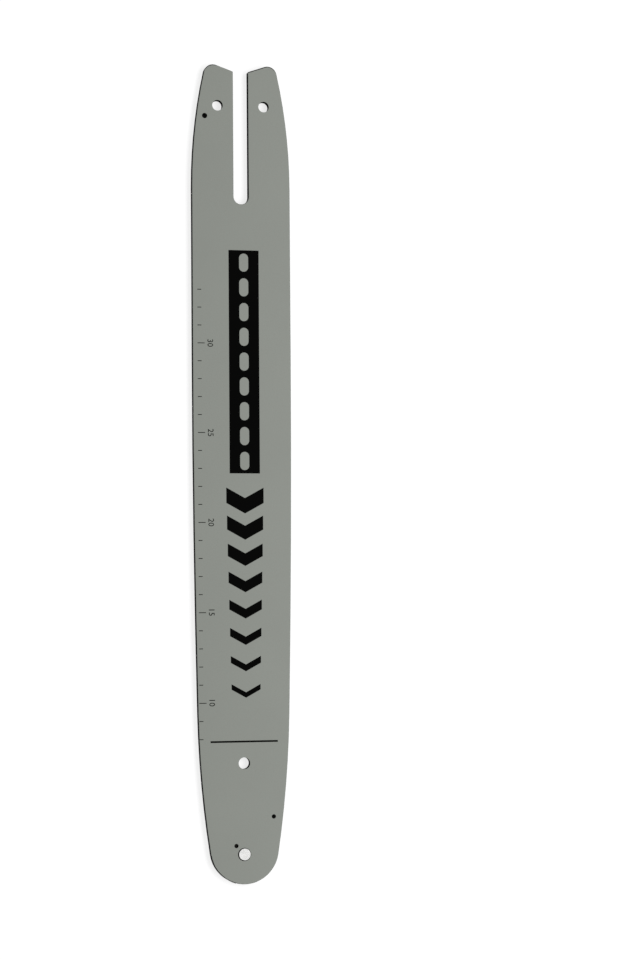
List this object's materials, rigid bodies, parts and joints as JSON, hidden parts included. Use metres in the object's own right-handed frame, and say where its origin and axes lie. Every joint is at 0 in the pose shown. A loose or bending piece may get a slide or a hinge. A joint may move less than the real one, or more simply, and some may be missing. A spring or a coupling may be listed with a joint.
{
  "type": "chainsaw guide bar",
  "caption": "Flat laminated guide bar with a chain groove round its edge, an open stud slot at the tail and a toothed sprocket in its rounded nose.",
  "frame": {"origin": "centre of the bar's length and width, on the face it lies on", "axes": "+Y along the bar towards its mounting tail, +Z out of the printed face, +X to the right with the tail up"},
  "size_m": [0.0558, 0.457, 0.0041],
  "materials": {
    "painted_plate": "satin grey paint on steel, rails left bare and dark",
    "core_steel": "dark rolled steel",
    "sprocket_steel": "hardened ground steel",
    "bearing_steel": "polished bearing steel with a film of grease",
    "rivet_steel": "bright ground steel"
  },
  "bodies": {
    "bar": {"front_side_plate": "painted_plate", "back_side_plate": "painted_plate", "core_plate": "core_steel", "nose_hub": "bearing_steel", "nose_rivet": "rivet_steel"},
    "sprocket": {"nose_sprocket": "sprocket_steel"},
    "roller_ring": {"nose_roller_01": "bearing_steel", "nose_roller_02": "bearing_steel", "nose_roller_03": "bearing_steel", "nose_roller_04": "bearing_steel", "nose_roller_05": "bearing_steel", "nose_roller_06": "bearing_steel", "nose_roller_07": "bearing_steel", "nose_roller_08": "bearing_steel", "nose_roller_09": "bearing_steel", "nose_roller_10": "bearing_steel", "nose_roller_11": "bearing_steel", "nose_roller_12": "bearing_steel", "nose_roller_13": "bearing_steel", "nose_roller_14": "bearing_steel", "nose_roller_15": "bearing_steel", "nose_roller_16": "bearing_steel", "nose_roller_17": "bearing_steel", "nose_roller_18": "bearing_steel"}
  },
  "joints": [
    {"name": "sprocket_spin", "type": "hinge", "parent": "bar", "child": "sprocket", "pos_m": [0, -0.2121, 0.00205], "axis": [0, 0, 1], "continuous": true},
    {"name": "roller_ring_spin", "type": "hinge", "parent": "bar", "child": "roller_ring", "pos_m": [0, -0.2121, 0.00205], "axis": [0, 0, 1], "continuous": true}
  ],
  "couplings": [
    {"joint": "roller_ring_spin", "follows": "sprocket_spin", "ratio": 0.58457}
  ]
}
